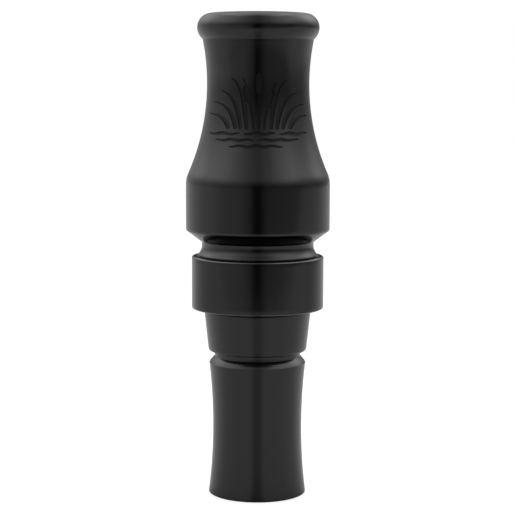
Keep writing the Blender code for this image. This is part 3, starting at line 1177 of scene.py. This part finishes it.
def add_channel_cutter():
    """A block as wide as the channel, its lower edges and its upper end rounded."""
    overshoot = 2.0
    slack = 0.01
    bottom = board_low.z / MM - overshoot
    front = -9.0
    size = (2 * channel_half, channel_floor - front, channel_top - bottom)
    middle = (0.0, (channel_floor + front) / 2, (channel_top + bottom) / 2)
    bpy.ops.object.select_all(action="DESELECT")
    bpy.ops.mesh.primitive_cube_add(size=1.0, location=[value * MM for value in middle])
    cutter = bpy.context.object
    cutter.name = "channel_cutter"
    cutter.scale = [value * MM for value in size]
    bpy.ops.object.transform_apply(location=True, rotation=True, scale=True)
    begin_edit(cutter)
    mesh = bmesh.from_edit_mesh(cutter.data)
    for edge in mesh.edges:
        start, end = edge.verts[0].co, edge.verts[1].co
        deep = min(start.y, end.y) > (channel_floor - slack) * MM
        foot = max(start.z, end.z) < (bottom + slack) * MM
        edge.select_set(deep and not foot)
    bpy.ops.mesh.bevel(
        offset=channel_half * 0.96 * MM,
        offset_type="OFFSET",
        segments=8,
        affect="EDGES",
    )
    end_edit()
    return cutter


board_path = trace(outline_board(), closed=False)
board = turn_piece("tone_board_milled", board_path, closed=False)
cut_off(board, (0, reed_bed, 0), (0, -1, 0))
cut_off(board, (0, reed_bed, board_step), (0, -1, ramp_slope))
break_edges(board, width=0.12, segments=2, degrees=50)
carve(board, "DIFFERENCE", add_channel_cutter())
smooth_by_angle(board, 30)
dress(board, board_plastic, "board_plastic", "guts", "tone_board")
print("Tone board has", len(board.data.polygons), "faces")

# %% [markdown]
# ## The reeds
# Two strips of film lie on the board, the upper one shorter, with a pressed dimple that keeps it
# off the lower one. In the clamp they lie tight; above it they stand a little clear of the ramp
# and bend. A grid is the right start, because a reed that bends needs rows across its length.
# Each row is moved on its own to follow the bend, and Solidify then gives the film its gauge.
#
# The bend starts where the board comes out of the insert and ends well up the reed's free
# length.

# %% Reeds
reed_gauge = 0.25
reed_width = 11.0
tip_clip = 2.0
film_columns = 22
film_row_height = 0.5
clamp_top = tenon_top + 1.5
free_height = board_step + 22.0
film_gap = 0.02


def soft_step(share):
    """An eased rise from 0 to 1, held at 0 before it and at 1 after it."""
    share = min(1.0, max(0.0, share))
    return share * share * (3 - 2 * share)


def add_film(name, bottom, top, plane):
    """An upright grid of film of half-millimetre faces, with its tip's corners clipped."""
    rows = round((top - bottom) / film_row_height)
    bpy.ops.object.select_all(action="DESELECT")
    bpy.ops.mesh.primitive_grid_add(
        x_subdivisions=film_columns,
        y_subdivisions=rows,
        size=1.0,
        location=(0.0, plane * MM, (bottom + top) / 2 * MM),
        rotation=(math.radians(90), 0.0, 0.0),
    )
    film = bpy.context.object
    film.name = name
    film.scale = (reed_width * MM, (top - bottom) * MM, 1.0)
    bpy.ops.object.transform_apply(location=True, rotation=True, scale=True)
    for side in (-1, 1):
        place = (side * (reed_width - tip_clip) / 2, plane, top - tip_clip / 2)
        cut_off(film, place, (side, 0, 1), fill=False)
    return film


def settle_in_clamp(film, shift):
    """Moves each row back towards the board: fully in the clamp, and less and less above it."""
    begin_edit(film)
    mesh = bmesh.from_edit_mesh(film.data)
    heights = sorted({round(vert.co.z / MM, 3) for vert in mesh.verts})
    for height in heights:
        share = 1.0 - soft_step((height - clamp_top) / (free_height - clamp_top))
        if share == 0.0:
            continue
        for vert in mesh.verts:
            vert.select_set(abs(vert.co.z / MM - height) < MERGE_DISTANCE)
        bpy.ops.transform.translate(value=(0.0, shift * share * MM, 0.0))
    end_edit()


def press_dimple(film, height):
    """A round dimple pressed into the film, in two rings of vertices."""
    for radius, depth in ((1.3, 0.05), (0.8, 0.07)):
        begin_edit(film)
        mesh = bmesh.from_edit_mesh(film.data)
        for vert in mesh.verts:
            vert.select_set(math.hypot(vert.co.x / MM, vert.co.z / MM - height) < radius)
        bpy.ops.transform.translate(value=(0.0, depth * MM, 0.0))
        end_edit()


reed_step = 0.0
for node, body in (("reed_lower", "lower_reed"), ("reed_upper", "upper_reed")):
    reed_low, reed_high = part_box(node)
    plane = (reed_low.y + reed_high.y) / 2 / MM
    clamped = reed_bed - film_gap - reed_gauge / 2 - reed_step
    reed_step += reed_gauge + film_gap
    reed = add_film(node + "_film", reed_low.z / MM, reed_high.z / MM, plane)
    settle_in_clamp(reed, clamped - plane)
    if node == "reed_upper":
        press_dimple(reed, clamp_top + 5.0)
    use_modifier(reed, "SOLIDIFY", thickness=reed_gauge * MM, offset=0.0)
    face_outwards(reed)
    smooth_by_angle(reed, 30)
    reed.data.materials.append(reed_film)
    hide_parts(node)
    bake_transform(reed)
    print(node, "has", len(reed.data.polygons), "faces")

# %% [markdown]
# ## The wedge
# A plug of cork, cut flat on one side, jams the reeds against the board. It is a cylinder with
# one plane cut. Its edges are worn rounder than those of the turned pieces, because cork
# crumbles. Its pores are only in the finish: they are too fine to be worth modelling.

# %% Wedge
wedge_radius = 5.86
wedge_low, wedge_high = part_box("wedge")
bpy.ops.object.select_all(action="DESELECT")
bpy.ops.mesh.primitive_cylinder_add(
    vertices=96,
    radius=wedge_radius * MM,
    depth=wedge_high.z - wedge_low.z,
    location=(0.0, 0.0, (wedge_high.z + wedge_low.z) / 2),
)
wedge = bpy.context.object
wedge.name = "wedge_cut"
bpy.ops.object.transform_apply(location=True, rotation=True, scale=True)
wedge_face = reed_bed - 2 * reed_gauge - 3 * film_gap
cut_off(wedge, (0, wedge_face, 0), (0, 1, 0))
break_edges(wedge, width=0.25, segments=3, degrees=40)
smooth_by_angle(wedge, 40)
dress(wedge, cork, "cork", "guts", "wedge")
print("The wedge's flat face is at y", round(wedge_face, 2), "mm")

# %% [markdown]
# ## Sizes
# The solid model's box is printed here.

# %% Sizes
print("CAD box", list(cad_low), list(cad_high))
